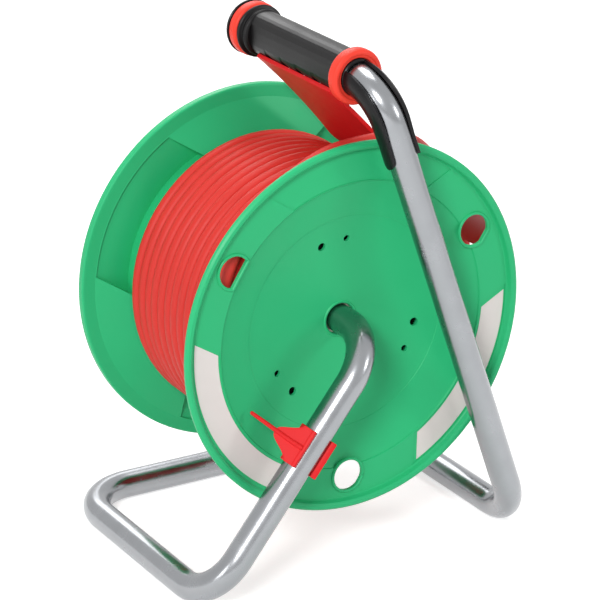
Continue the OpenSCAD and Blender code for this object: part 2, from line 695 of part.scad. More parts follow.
module socket_cup(a) {
  color([0.13, 0.13, 0.14]) on_front() rotate(a) translate([socket_at, 0, 0]) difference() {
    translate([0, 0, panel_face - socket_depth - cup_floor]) cylinder(r = cup_r, h = socket_depth + cup_floor);
    translate([0, 0, panel_face - socket_depth]) cylinder(r = socket_r, h = socket_depth + 1);
    for (s = [-1, 1]) translate([0, s * pin_gap / 2, panel_face - socket_depth - cup_floor - 1])
      cylinder(r = pin_d / 2 + 0.2, h = cup_floor + 2);
    for (s = [-1, 1]) translate([s * (socket_r - 0.4) - 1.2, -2.6, panel_face - socket_depth - 1])
      cube([2.4, 5.2, socket_depth - 3]);
  }
}
module socket_cup_1() { socket_cup(socket_angles[0]); }
module socket_cup_2() { socket_cup(socket_angles[1]); }
module socket_cup_3() { socket_cup(socket_angles[2]); }
module socket_contacts() {
  z = panel_face - socket_depth - cup_floor;
  color([0.8, 0.65, 0.3]) on_front() on_circle(socket_at, socket_angles) for (s = [-1, 1])
    translate([0, s * pin_gap / 2, 0]) tube(pin_d / 2 + 1.4, pin_d / 2 + 0.1, z - 12, z);
}
module earth_clips() {
  z = panel_face - socket_depth;
  color([0.8, 0.65, 0.3]) on_front() on_circle(socket_at, socket_angles) for (s = [-1, 1])
    translate([s * (socket_r + 0.2) - 0.4, -2.2, z - 0.8]) cube([0.8, 4.4, socket_depth - 5]);
}
module panel_screws() {
  color("gainsboro") on_front() on_circle(panel_screw_at, panel_screw_a) union() {
    translate([0, 0, panel_face]) cylinder(r = 3.6, h = 1.8);
    translate([0, 0, panel_face - 12]) cylinder(r = 1.9, h = 12 + eps);
  }
}

// ---- lids, hinged on the rim side of each socket and closed by a spring ----
hinge_out = lid_r + 3.4;                // from the middle of the socket to the hinge
hinge_pin_r = 1.5;
hinge_z = panel_face + 4.5;
knuckle_r = 3;
knuckle_w = 14;
ear_w = 4;
lid_t = 2.4;
lid_z = panel_face + 1.5 + gap;
module lid_ears() {
  for (s = [-1, 1]) translate([hinge_out, s * (knuckle_w / 2 + gap + ear_w / 2), 0]) difference() {
    union() {
      translate([-3, -ear_w / 2, panel_face - eps]) cube([6, ear_w, hinge_z - panel_face]);
      translate([0, ear_w / 2, hinge_z]) rotate([90, 0, 0]) cylinder(r = 3, h = ear_w);
    }
    translate([0, ear_w, hinge_z]) rotate([90, 0, 0]) cylinder(r = hinge_pin_r, h = 2 * ear_w);
  }
}
module lid(a) {
  color([0.13, 0.13, 0.14]) on_front() rotate(a) translate([socket_at, 0, 0]) difference() {
    union() {
      translate([0, 0, lid_z]) cylinder(r = lid_r, h = lid_t);
      translate([0, 0, lid_z + lid_t - eps]) cylinder(r1 = lid_r - 1, r2 = lid_r - 4, h = 2);
      translate([hinge_out, knuckle_w / 2, hinge_z]) rotate([90, 0, 0]) cylinder(r = knuckle_r, h = knuckle_w);
      translate([lid_r - 6, -knuckle_w / 2, lid_z]) cube([hinge_out - lid_r + 6, knuckle_w, lid_t]);
      translate([-lid_r - 4, -6, lid_z]) cube([8, 12, lid_t]);
    }
    translate([hinge_out, knuckle_w, hinge_z]) rotate([90, 0, 0])
      cylinder(r = hinge_pin_r + fit_run, h = 2 * knuckle_w);
    // room for the spring
    translate([hinge_out, 3, hinge_z]) rotate([90, 0, 0]) cylinder(r = knuckle_r + 1, h = 6);
  }
}
module lid_1() { lid(socket_angles[0]); }
module lid_2() { lid(socket_angles[1]); }
module lid_3() { lid(socket_angles[2]); }
pin_span = knuckle_w + 2 * gap + 2 * ear_w;
module lid_pins() {
  color("gainsboro") on_front() on_circle(socket_at, socket_angles)
    translate([hinge_out, pin_span / 2, hinge_z]) rotate([90, 0, 0]) cylinder(r = hinge_pin_r, h = pin_span);
}
module lid_springs() {
  color("silver") on_front() on_circle(socket_at, socket_angles)
    translate([hinge_out, 0, hinge_z]) rotate([90, 0, 0]) translate([0, 0, -2.5])
      tube(hinge_pin_r + 1, hinge_pin_r, 0, 5);
}

// ---- thermal cut-out with its reset button ----
button_travel = 2;
button_z = panel_face + 3;
housing_z = panel_face - 14;
module cutout_housing() {
  color("black") on_front() on_circle(button_at, [button_a]) difference() {
    union() {
      translate([0, 0, housing_z]) cylinder(r = button_r + 1.9, h = panel_face - housing_z);
      tube(button_r + 3.4, button_r + fit_run, panel_face + eps, panel_face + 1.6);
    }
    translate([0, 0, housing_z + 2]) cylinder(r = button_r + fit_run, h = 20);
  }
}
module cutout_button() {
  color([0.8, 0.1, 0.1]) on_front() on_circle(button_at, [button_a]) union() {
    translate([0, 0, panel_face - 5]) cylinder(r = button_r, h = button_z - panel_face + 4);
    translate([0, 0, button_z - 1]) cylinder(r1 = button_r, r2 = button_r - 1, h = 1);
  }
}
module cutout_spring() {
  color("silver") on_front() on_circle(button_at, [button_a])
    tube(button_r - 1.5, button_r - 2.5, housing_z + 2, panel_face - 5 - button_travel - gap);
}

// ---- crank knob ----
bolt_r = 4;
knob_z0 = -knob_seat_z + gap;
module crank_knob() {
  color([0.1, 0.1, 0.1]) on_front() rotate(180 - knob_a) translate([knob_at, 0, knob_z0]) rotate_extrude()
    polygon(concat(
      [[bolt_r + fit_run, 0], [knob_r - 1.5, 0]],
      arc_pts([knob_r - 3, 4], 2.6, -60, 0, 4),
      arc_pts([knob_r - 5, knob_len - 5], 5, 0, 90, 8),
      [[6.4, knob_len], [6.4, knob_len - 4], [bolt_r + fit_run, knob_len - 4]]));
}
module knob_bolt() {
  head_z = knob_len - 4 + gap;
  color("gainsboro") on_front() rotate(180 - knob_a) translate([knob_at, 0, knob_z0]) union() {
    translate([0, 0, -gap - knob_boss_len]) cylinder(r = bolt_r, h = knob_boss_len + gap + head_z);
    translate([0, 0, head_z - eps]) difference() {
      cylinder(r = 5.8, h = 2.8);
      translate([0, 0, 1.2]) cylinder(r = 2, h = 3, $fn = 6);
    }
  }
}

// ---- blank stickers on the flat ring ----
label_t = 0.25;
module label(a0, a1, r0, r1) {
  color([0.88, 0.84, 0.83]) on_drum() translate([0, 0, ring_z]) linear_extrude(label_t)
    polygon(concat(arc_pts([0, 0], r1, a0, a1, 24), arc_pts([0, 0], r0, a1, a0, 24)));
}
label_in_r = ring_in_r + 2.5;
label_out_r = lip_in_r - 2;
module label_left() { label(179, 236, label_in_r, label_out_r); }
module label_right() { label(-62, 0, label_in_r, label_out_r); }

axle_bar();
axle_leg();
back_bar();
handle_leg();
axle_washer();
axle_collar();
axle_cross_pin();
axle_end_plug();
handle_grip();
handle_fork();
fork_prongs();
ring_near();
ring_far();
handle_end_cap();
cable_guide();
brake_clip();
rear_flange();
front_flange();
barrel();
rear_bush();
inner_bush();
drum_screws();
winding_core();
cable_layer();
lead();
plug_body();
plug_pins();
plug_earth_strips();
socket_panel();
socket_cup_1();
socket_cup_2();
socket_cup_3();
socket_contacts();
earth_clips();
panel_screws();
lid_1();
lid_2();
lid_3();
lid_pins();
lid_springs();
cutout_button();
cutout_housing();
cutout_spring();
crank_knob();
knob_bolt();
label_left();
label_right();
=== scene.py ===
# %% [markdown]
# # A cable reel on a bent tube stand
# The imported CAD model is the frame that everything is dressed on. The nodes that show
# most are replaced by pieces with the softness, seams and finish of the real part; the
# plain ones keep their CAD shape and get a finish. Lengths are in millimetres unless a
# name or a comment says otherwise, and `MM` turns them to metres.

import math

import bpy
from mathutils import Matrix, Vector


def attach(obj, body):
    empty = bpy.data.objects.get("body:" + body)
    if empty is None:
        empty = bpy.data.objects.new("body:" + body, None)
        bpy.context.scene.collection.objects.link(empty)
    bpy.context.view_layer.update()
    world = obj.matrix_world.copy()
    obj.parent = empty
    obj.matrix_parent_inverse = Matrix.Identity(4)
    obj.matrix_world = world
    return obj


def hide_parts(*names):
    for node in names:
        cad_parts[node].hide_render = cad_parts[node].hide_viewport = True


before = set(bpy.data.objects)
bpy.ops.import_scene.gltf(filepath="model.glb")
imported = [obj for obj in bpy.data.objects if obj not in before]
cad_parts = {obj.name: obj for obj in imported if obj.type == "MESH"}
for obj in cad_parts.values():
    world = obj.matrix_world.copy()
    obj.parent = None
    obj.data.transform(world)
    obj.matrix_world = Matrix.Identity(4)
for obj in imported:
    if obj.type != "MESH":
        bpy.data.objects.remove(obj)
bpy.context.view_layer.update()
MM = 0.001

# %% [markdown]
# ## The camera
# A long lens stands to the left of the drum's rear side and looks slightly down. It is
# placed by three directions at right angles, turned about the line of sight by a degree.

# %% Camera
AIM = Vector((-3.74, 5.0, 184.77)) * MM
RIGHT = Vector((0.85035, -0.52621, 0.0))
UP = Vector((0.19132, 0.30917, 0.93157))
BACK = Vector((-0.49020, -0.79216, 0.36358))
ROLL = math.radians(1.08)
DISTANCE = 2119.46
right = RIGHT * math.cos(ROLL) + UP * math.sin(ROLL)
up = UP * math.cos(ROLL) - RIGHT * math.sin(ROLL)
bpy.ops.object.camera_add(location=AIM + BACK * DISTANCE * MM)
camera = bpy.context.object
camera.rotation_mode = "QUATERNION"
camera.rotation_quaternion = Matrix((right, up, BACK)).transposed().to_quaternion()
camera.data.lens = 166.359
camera.data.sensor_width = 36.0
camera.data.clip_end = 30.0
bpy.context.scene.camera = camera
print("camera at", [round(v, 3) for v in camera.location])

# %% [markdown]
# ## Places on the reel
# The drum's own frame has its third axis towards the rear flange, so a radius and a
# height over the drum's middle describe any turned part. The handle runs along Y.

# %% Places and sizes, in mm
STAND_X = -4.6
DRUM = Vector((STAND_X - 1.0, 5.0, 191.0))
# heights of the rear flange's rim, ring and hub over the drum's middle
RIM, RING, HUB = 85.0, 79.5, 60.5
HANDLE_Z = 382.0
NEAR_RING_Y = -66.0
FAR_RING_Y = 76.0
LEG_Y = -106.0
HANDLE_LEG_Y = -99.0
BACK_Y = 106.0


def on_drum(r, angle, z):
    """A point at a radius, an angle from +X towards +Z and a height towards the rear,
    turned to metres."""
    a = math.radians(angle)
    return Vector((DRUM.x + r * math.cos(a), DRUM.y - z, DRUM.z + r * math.sin(a))) * MM


def soften(points, radii, steps=6):
    """The same line with each corner turned into an arc, in two or three dimensions."""
    points = [Vector(p) for p in points]
    out = [points[0]]
    for i in range(1, len(points) - 1):
        p, radius = points[i], radii if isinstance(radii, (int, float)) else radii[i]
        u, v = points[i - 1] - p, points[i + 1] - p
        if radius <= 0 or u.length < 1e-6 or v.length < 1e-6:
            out.append(p)
            continue
        un, vn = u.normalized(), v.normalized()
        half = math.acos(max(-1, min(1, un.dot(vn)))) / 2
        if half > math.radians(88.5) or half < 0.02:
            out.append(p)
            continue
        run = min(radius / math.tan(half), 0.49 * u.length, 0.49 * v.length)
        r = run * math.tan(half)
        middle = p + (un + vn).normalized() * (r / math.sin(half))
        a, b = p + un * run - middle, p + vn * run - middle
        turn = math.pi - 2 * half
        for k in range(steps + 1):
            t = k / steps
            w = (a * math.sin((1 - t) * turn) + b * math.sin(t * turn)) / math.sin(turn)
            out.append(middle + w)
    out.append(points[-1])
    return out


def eased(pairs, radius, steps=3):
    """Pairs of coordinates with every corner between them softened."""
    return [(p.x, p.y) for p in soften([Vector((a, b, 0)) for a, b in pairs], radius, steps)]


def polar(r, angle):
    """A flat point at a radius and an angle in degrees."""
    return Vector((r * math.cos(math.radians(angle)), r * math.sin(math.radians(angle)), 0))


print("drum axis at", tuple(DRUM), "rim plane at y =", DRUM.y - RIM)

# %% [markdown]
# ## Tools for the pieces
# Most parts of a reel are turned, swept or bent, so a few small tools do the work: a
# chain of edges made by extruding one vertex, a lathe that spins the chain, a pipe that
# gives it a round section, a sheet that is laid point by point, and a cutter. Each uses
# Blender's own operators.

# %% Selection, chains, lathe and pipe
def only(obj):
    """Selects this object alone and makes it active."""
    if bpy.context.object and bpy.context.object.mode != "OBJECT":
        bpy.ops.object.mode_set(mode="OBJECT")
    bpy.ops.object.select_all(action="DESELECT")
    obj.select_set(True)
    bpy.context.view_layer.objects.active = obj
    return obj


def chain(name, points):
    """Edges through points in metres: a plane merged to one vertex, then extruded."""
    bpy.ops.object.select_all(action="DESELECT")
    bpy.ops.mesh.primitive_plane_add(size=0.01, location=(0, 0, 0))
    obj = bpy.context.object
    obj.name = obj.data.name = name
    bpy.ops.object.mode_set(mode="EDIT")
    bpy.ops.mesh.select_all(action="SELECT")
    bpy.ops.mesh.merge(type="CENTER")
    bpy.ops.transform.translate(value=points[0])
    for a, b in zip(points, points[1:]):
        bpy.ops.mesh.extrude_region_move(TRANSFORM_OT_translate={"value": b - a})
    bpy.ops.object.mode_set(mode="OBJECT")
    return obj


def close_up(obj, merge=1e-6):
    """Merges doubles and turns every face outwards."""
    only(obj)
    bpy.ops.object.mode_set(mode="EDIT")
    bpy.ops.mesh.select_all(action="SELECT")
    bpy.ops.mesh.remove_doubles(threshold=merge)
    bpy.ops.mesh.normals_make_consistent(inside=False)
    bpy.ops.object.mode_set(mode="OBJECT")
    return obj


def lathe(name, points, centre, axis, steps=96):
    """A closed turned part from an outline that starts and ends on one line."""
    obj = only(chain(name, points))
    bpy.ops.object.mode_set(mode="EDIT")
    bpy.ops.mesh.select_all(action="SELECT")
    bpy.ops.mesh.spin(steps=steps, angle=math.tau, center=centre, axis=axis)
    bpy.ops.object.mode_set(mode="OBJECT")
    return close_up(obj)


def turned(name, outline, steps=96):
    """A part turned about the drum's axis, from (radius, height) pairs in mm."""
    loop = list(outline) + [outline[0]]
    return lathe(name, [on_drum(r, 0.0, z) for r, z in loop], DRUM * MM, (0, -1, 0), steps)


def pipe(name, points, radius, sides=10, caps=True):
    """A round bar swept along the points, its radius in metres."""
    obj = only(chain(name, points))
    bpy.ops.object.convert(target="CURVE")
    obj = bpy.context.object
    obj.data.dimensions = "3D"
    obj.data.bevel_depth = radius
    obj.data.bevel_resolution = sides
    obj.data.use_fill_caps = caps
    bpy.ops.object.convert(target="MESH")
    return close_up(bpy.context.object, 1e-7)


def skin(name, rows, cols, place):
    """A sheet of rows by columns whose points `place(u, v)` puts where they belong."""
    bpy.ops.object.select_all(action="DESELECT")
    bpy.ops.mesh.primitive_grid_add(x_subdivisions=rows, y_subdivisions=cols, size=1)
    obj = bpy.context.object
    obj.name = obj.data.name = name
    for v in obj.data.vertices:
        v.co = Vector(place(v.co.x + 0.5, v.co.y + 0.5)) * MM
    return close_up(obj, 1e-7)


def thicken(obj, wall, offset=1.0):
    """Gives a sheet a wall, in mm; offset 1 keeps the sheet as the outer face."""
    only(obj)
    mod = obj.modifiers.new("wall", "SOLIDIFY")
    mod.thickness, mod.offset, mod.use_even_offset = wall * MM, offset, True
    bpy.ops.object.modifier_apply(modifier=mod.name)
    return close_up(obj, 1e-7)


def fill_ends(obj, merge):
    """Makes a wrapped sheet solid: joins its seam and fills its open ends."""
    only(obj)
    bpy.ops.object.mode_set(mode="EDIT")
    bpy.ops.mesh.select_all(action="SELECT")
    bpy.ops.mesh.remove_doubles(threshold=merge)
    bpy.ops.mesh.select_all(action="DESELECT")
    bpy.ops.mesh.select_non_manifold()
    bpy.ops.mesh.fill_holes(sides=0)
    bpy.ops.object.mode_set(mode="OBJECT")
    return close_up(obj)


def block(name, centre, ex, ey, ez, size, ease):
    """A box with eased edges along three directions, sizes and ease in mm."""
    bpy.ops.object.select_all(action="DESELECT")
    bpy.ops.mesh.primitive_cube_add(size=1)
    obj = bpy.context.object
    obj.name = obj.data.name = name
    ex, ey, ez = Vector(ex), Vector(ey), Vector(ez)
    for v in obj.data.vertices:
        x, y, z = (v.co[i] * size[i] for i in range(3))
        v.co = (Vector(centre) + ex * x + ey * y + ez * z) * MM
    close_up(obj)
    return soft_edges(obj, ease * MM, 3)


def cut(obj, *cutters):
    """Takes the cutters out of the object and removes them."""
    for cutter in cutters:
        only(obj)
        mod = obj.modifiers.new("cut", "BOOLEAN")
        mod.operation, mod.solver, mod.object = "DIFFERENCE", "EXACT", cutter
        bpy.ops.object.modifier_apply(modifier=mod.name)
        bpy.data.objects.remove(cutter, do_unlink=True)
    return obj


def joined(obj, *others):
    """Makes one object of several."""
    only(obj)
    for other in others:
        other.select_set(True)
    bpy.ops.object.join()
    return bpy.context.object


def soft_edges(obj, width, segments=2, angle=30):
    """Rounds every edge sharper than the angle, by a width in metres."""
    only(obj)
    mod = obj.modifiers.new("soft edges", "BEVEL")
    mod.width, mod.segments, mod.limit_method = width, segments, "ANGLE"
    mod.angle_limit = math.radians(angle)
    bpy.ops.object.modifier_apply(modifier=mod.name)
    return obj


def done(obj, material, body, slot, *nodes, smooth=35):
    """Settles a finished piece: its place goes into its mesh, and it gets its
    material, its body and the nodes that it stands for."""
    only(obj)
    bpy.ops.object.transform_apply(location=True, rotation=True, scale=True)
    bpy.ops.object.shade_smooth_by_angle(angle=math.radians(smooth))
    obj.data.materials.clear()
    obj.data.materials.append(material)
    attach(obj, body)
    if nodes:
        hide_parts(*nodes)
    print(f"{obj.name}: {len(obj.data.polygons)} faces on {body}")
    return obj


# %% [markdown]
# ## Finishes
# Moulded plastic is never one flat colour: the pigment clouds a little, the gloss
# wanders, and a fine grain from the mould breaks up reflections. Zinc on a tube has a
# faint spangle. Both come from noise read in the piece's own space.

# %% Materials
def linear(r, g, b):
    """Screen colour, 0 to 255, as the linear values that a shader takes."""
    return tuple(((c / 255 + 0.055) / 1.055) ** 2.4 if c > 10 else c / 255 / 12.92 for c in (r, g, b))


METAL_SHINE, PLASTIC_SHINE = 0.5, 0.24


def finish(name, colour, rough, cloud=0.06, cloud_scale=18, grain=0.05, grain_scale=900,
           metallic=0.0, swing=0.06):
    """A Principled material with a clouded colour, wandering gloss and fine grain."""
    mat = bpy.data.materials.new(name)
    mat.use_nodes = True
    nodes, links = mat.node_tree.nodes, mat.node_tree.links
    shader = nodes["Principled BSDF"]
    shader.inputs["Metallic"].default_value = metallic
    shader.inputs["Specular IOR Level"].default_value = METAL_SHINE if metallic else PLASTIC_SHINE
    place = nodes.new("ShaderNodeTexCoord")
    clouds = nodes.new("ShaderNodeTexNoise")
    clouds.inputs["Scale"].default_value = cloud_scale
    clouds.inputs["Detail"].default_value = 4
    links.new(place.outputs["Object"], clouds.inputs["Vector"])
    tint = nodes.new("ShaderNodeMix")
    tint.data_type = "RGBA"
    tint.inputs["A"].default_value = (*[c * (1 - cloud) for c in colour], 1)
    tint.inputs["B"].default_value = (*[min(1, c * (1 + cloud)) for c in colour], 1)
    links.new(clouds.outputs["Fac"], tint.inputs["Factor"])
    links.new(tint.outputs["Result"], shader.inputs["Base Color"])
    gloss = nodes.new("ShaderNodeMapRange")
    gloss.inputs["From Min"].default_value = 0.3
    gloss.inputs["From Max"].default_value = 0.7
    gloss.inputs["To Min"].default_value = max(0.02, rough - swing)
    gloss.inputs["To Max"].default_value = rough + swing
    links.new(clouds.outputs["Fac"], gloss.inputs["Value"])
    links.new(gloss.outputs["Result"], shader.inputs["Roughness"])
    grit = nodes.new("ShaderNodeTexNoise")
    grit.inputs["Scale"].default_value = grain_scale
    grit.inputs["Detail"].default_value = 2
    links.new(place.outputs["Object"], grit.inputs["Vector"])
    bump = nodes.new("ShaderNodeBump")
    bump.inputs["Strength"].default_value = grain
    bump.inputs["Distance"].default_value = 0.0004
    links.new(grit.outputs["Fac"], bump.inputs["Height"])
    links.new(bump.outputs["Normal"], shader.inputs["Normal"])
    return mat


GREEN = finish("drum green", linear(44, 184, 120), 0.42, cloud=0.04, grain=0.10, grain_scale=1400)
CABLE_RED = finish("cable red", linear(208, 54, 47), 0.46, cloud=0.07, cloud_scale=60, grain=0.16,
                   grain_scale=2200)
GUIDE_RED = finish("guide red", linear(222, 30, 34), 0.48, cloud=0.05, grain=0.06)
RING_RED = finish("ring red", linear(242, 66, 50), 0.42, cloud=0.04, grain=0.08)
GRIP_BLACK = finish("grip black", linear(11, 10, 11), 0.36, cloud=0.10, grain=0.12, grain_scale=1800)
BLACK = finish("moulded black", linear(14, 13, 15), 0.34, cloud=0.08, grain=0.08)
SOCKET_BLACK = finish("socket black", linear(30, 30, 32), 0.45, cloud=0.08, grain=0.12)
ZINC = finish("zinc on tube", (0.32, 0.33, 0.345), 0.25, cloud=0.10, cloud_scale=60, grain=0.08,
              grain_scale=600, metallic=1.0, swing=0.04)
STEEL = finish("small steel", (0.60, 0.60, 0.61), 0.32, cloud=0.08, cloud_scale=80, metallic=1.0)
BRASS = finish("contact brass", (0.72, 0.52, 0.22), 0.30, cloud=0.08, cloud_scale=90, metallic=1.0)
IVORY = finish("bush ivory", linear(236, 230, 214), 0.5, cloud=0.03)
PAPER = finish("blank label", linear(224, 217, 214), 0.55, cloud=0.03, cloud_scale=40, grain=0.05)
print("finishes:", len(bpy.data.materials))

# %% [markdown]
# ## The lead
# The last turn of the cable leaves the drum over the guide's near edge, crosses the
# guide and hangs down behind the flange with its plug. It is one curve, so that its
# real length can be measured, and it belongs to the stand because it rests on it.

# %% Lead: the route in mm
CABLE_D = 9.2
SLOT_Z = 67.4
LAYER_R = 108.5
TURN_FROM, TURN_TO, TURN_STEPS = 140, -185, 23
RISE = [(163, 112), (150, 117), (137, 123), (124, 129), (111, 133.5)]
RISE_STEP = 0.45
LEAD_ROUTE = [(-31.5, -65.5, 327), (-12.5, -65.5, 330.5), (6.5, -65.5, 331.5), (24.5, -65, 331),
              (41.5, -62, 327), (56.5, -55, 320), (70.5, -45, 310), (84.5, -33.5, 299), (98.5, -22, 288),
              (112.5, -11, 277.5), (126.5, -1, 266.5), (139.5, 8, 254.5), (149.5, 15.5, 240), (158, 21, 223),
              (161.5, 25, 205), (163, 27, 187), (163.5, 28, 172), (163.5, 28, 159), (163.5, 28, 147)]
lead_points = [on_drum(LAYER_R, TURN_FROM + (TURN_TO - TURN_FROM) * i / TURN_STEPS, SLOT_Z)
               for i in range(TURN_STEPS + 1)]
lead_points += [on_drum(r, a, SLOT_Z + RISE_STEP * (i + 1)) for i, (a, r) in enumerate(RISE)]
lead_points += [Vector(p) * MM for p in LEAD_ROUTE]
line = bpy.data.curves.new("lead", "CURVE")
line.dimensions = "3D"
line.bevel_depth = CABLE_D / 2 * MM
line.bevel_resolution = 6
line.use_fill_caps = True
spline = line.splines.new("NURBS")
spline.points.add(len(lead_points) - 1)
for point, place in zip(spline.points, lead_points):
    point.co = (*place, 1)
spline.order_u, spline.use_endpoint_u, spline.resolution_u = 3, True, 6
lead = bpy.data.objects.new("lead_cable", line)
bpy.context.collection.objects.link(lead)
line.materials.append(CABLE_RED)
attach(lead, "frame")
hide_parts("lead")

# %% [markdown]
# ## The plug
# A moulded plug has a ribbed strain relief that grows out of its rounded body. The
# CAD pins and earth strips keep their places and only get metal.

# %% Plug
PLUG_TOP = Vector((163.5, 28, 147))
RELIEF_RIBS = 6
profile = [(0, 0), (5.8, 0), (6.2, -3)]
for i in range(RELIEF_RIBS):
    crest, valley, z = 6.3 + 0.25 * i, 5.4 + 0.25 * i, -4 - 4.2 * i
    profile += [(crest, z), (crest, z - 2.4), (valley, z - 2.8), (valley, z - 3.8)]
profile += [(8.2, -30), (12, -31), (16.5, -34), (18.5, -40), (18.5, -62.5), (17.6, -64), (0, -64)]
plug = lathe("plug_shell", [(PLUG_TOP + Vector((r, 0, z))) * MM for r, z in eased(profile, 0.8)],
             PLUG_TOP * MM, (0, 0, 1), 48)
done(plug, BLACK, "frame", "black_plastic", "plug_body")

# %% [markdown]
# ## The stand
# One steel tube is bent six times: from the axle down the leg, round three sides of the
# floor, up the handle leg and into the handle. A chain with softened corners carries a
# round section, which keeps the bends true circles.

# %% Stand tube
TUBE_R = 11.0
STAND = [(-1, 6, 191), (-1, LEG_Y, 191), (-140, LEG_Y, 11), (-140, BACK_Y, 11), (140, BACK_Y, 11),
         (140, HANDLE_LEG_Y, 11), (0, HANDLE_LEG_Y, HANDLE_Z), (0, FAR_RING_Y + 5, HANDLE_Z)]
BENDS = [0, 38, 38, 44, 40, 38, 30, 0]
centreline = soften([Vector(p) + Vector((STAND_X, 0, 0)) for p in STAND], BENDS, 18)
tube = pipe("stand_tube", [p * MM for p in centreline], TUBE_R * MM, 14)
done(tube, ZINC, "frame", "tube_steel", "axle_bar", "axle_leg", "back_bar", "handle_leg")

# %% [markdown]
# ## The rear flange
# A thin moulding: a rolled lip, a flat ring with three finger holes and three fields
# let into it, and a shallow dish down to the hub. The outline is turned about the axle;
# the holes are then cut and edged with a raised bead, as a mould leaves them.

# %% Rear flange outline
WALL = 2.6
HUB_R = 14.5


def dish(r):
    """Height of the dish at a radius."""
    t = max(0.0, (r - HUB_R) / 98.0)
    return HUB + 17.7 * t ** 2.2


outer = [(HUB_R, HUB)] + [(r, dish(r)) for r in (22, 30, 38, 46, 53, 60, 66, 72, 78, 83.8)]
outer += [(84.1, dish(84) + 0.3), (92, dish(92) + 0.2), (99, dish(99) + 0.1)]
outer += [(r, dish(r)) for r in (106, 110, 112.6)]
outer += [(113.2, RING), (137.4, RING), (138.3, RING + 1.0), (139.3, RIM - 1.3), (140.9, RIM - 0.1),
          (143.2, RIM - 0.1), (144.9, RIM - 1.7), (144.9, RIM - 4.2)]
inner = [(143.4, RIM - 4.7), (141.6, RING - 1.4), (138, RING - WALL), (114, RING - WALL)]
inner += [(r, dish(r) - WALL) for r in (110, 105, 95, 85, 75, 60, 45, 30, 16)]
inner += [(16, HUB - 22), (11.9, HUB - 22), (11.9, HUB - 1.0), (12.6, HUB + 0.6), (13.8, HUB + 0.8)]
rear = turned("rear_flange_shell", eased(outer + inner, 0.5), 240)
print("rear flange outline has", len(outer) + len(inner), "corners")


def band(spans, r0, r1, half, turns=60):
    """An outline between two radii whose ends run beside straight mould lines: a span
    goes from the line right of one direction to the line left of the next."""
    a0, a1 = spans
    low = [a0 + math.degrees(math.asin(half / r)) for r in (r0, r1)]
    high = [a1 - math.degrees(math.asin(half / r)) for r in (r0, r1)]
    points = [polar(r1, low[1] + (high[1] - low[1]) * k / turns) for k in range(turns + 1)]
    points += [polar(r0, high[0] + (low[0] - high[0]) * k / turns) for k in range(turns + 1)]
    return points


# the three fields between the finger holes, where labels can lie
FIELDS = [(148.5, 270.0), (270.0, 388.5), (388.5, 508.5)]
FIELD_SUNK = 0.5

# %% Finger holes and screw holes
# each hole's angle, the way its round side points, and where its flat lies along that
FINGER_HOLES = [(149, 148.0, -4.9), (29, 146.5, -11.2), (-91, 148.0, -12.0)]
HOLE_AT, HOLE_R, HOLE_EASE = 120, 12.3, 2.2
SCREW_AT = 65
SCREWS = [(108.2, 3.25), (-11.8, 3.25), (-131.8, 3.25), (89, 2.5), (-31, 2.5), (-151, 2.5)]


def finger_ring(angle, flat_dir, flat_at, grow, steps=48):
    """The outline of a finger hole in the ring's plane: a circle with one flat, and the
    two corners between them eased."""
    c, u = polar(HOLE_AT, angle), polar(1, flat_dir)
    v = Vector((-u.y, u.x, 0))
    r = HOLE_R + grow
    half = math.acos(max(-1, min(1, (flat_at - grow) / r)))
    arc = [c + u * r * math.cos(t) + v * r * math.sin(t)
           for t in [-half + 2 * half * k / steps for k in range(steps + 1)]]
    return arc[1:-1] + soften([arc[-2], arc[-1], arc[0], arc[1]], HOLE_EASE, 4)[1:-1]


def raised(ring, z):
    """A flat outline put at a height over the drum's middle and turned to metres."""
    return [Vector((DRUM.x + p.x, DRUM.y - z, DRUM.z + p.y)) * MM for p in ring]


def prism(name, ring, z0, z1):
    """A solid with that outline between two heights over the drum's middle."""
    low = raised(ring, z0)
    obj = only(chain(name, low + [low[0]]))
    bpy.ops.object.mode_set(mode="EDIT")
    bpy.ops.mesh.select_all(action="SELECT")
    bpy.ops.mesh.remove_doubles(threshold=1e-6)
    bpy.ops.mesh.select_all(action="SELECT")
    bpy.ops.mesh.edge_face_add()
    bpy.ops.mesh.extrude_region_move(TRANSFORM_OT_translate={"value": (0, -(z1 - z0) * MM, 0)})
    bpy.ops.object.mode_set(mode="OBJECT")
    return close_up(obj)


for i, span in enumerate(FIELDS):
    cut(rear, prism(f"field_{i}", band(span, 113.7, 137.0, 57.5), RING - FIELD_SUNK, RING + 8))
beads = []
for i, hole in enumerate(FINGER_HOLES):
    cut(rear, prism(f"finger_cut_{i}", finger_ring(*hole, 0.2), RING - 8, RING + 6))
    path = raised(finger_ring(*hole, 1.0), RING + 0.1)
    beads.append(pipe(f"finger_bead_{i}", path + [path[0], path[1]], 1.25 * MM, 4, caps=False))
for angle, radius in SCREWS:
    bpy.ops.object.select_all(action="DESELECT")
    place = on_drum(SCREW_AT, angle, dish(SCREW_AT))
    bpy.ops.mesh.primitive_cylinder_add(vertices=40, radius=radius * MM, depth=14 * MM, location=place,
                                        rotation=(math.radians(90), 0, 0))
    cut(rear, bpy.context.object)
rear = joined(rear, *beads)
rear.name = "rear_flange_shell"
done(rear, GREEN, "drum", "drum_green", "rear_flange", smooth=28)

# %% Labels: blank stickers in two of the fields
for span, node in ((FIELDS[0], "label_left"), (FIELDS[1], "label_right")):
    sheet = prism(f"{node}_sheet", band(span, 115.6, 135.4, 60.5), RING - 0.48, RING - 0.22)
    done(sheet, PAPER, "drum", "label_white", node, smooth=20)

# %% [markdown]
# ## The front flange
# Seen past the winding it is a cone that falls from the rim to the barrel, with a flat
# field let into it behind each finger hole of the other flange. A field has a floor, a
# wall at its inner end and one along each straight side.

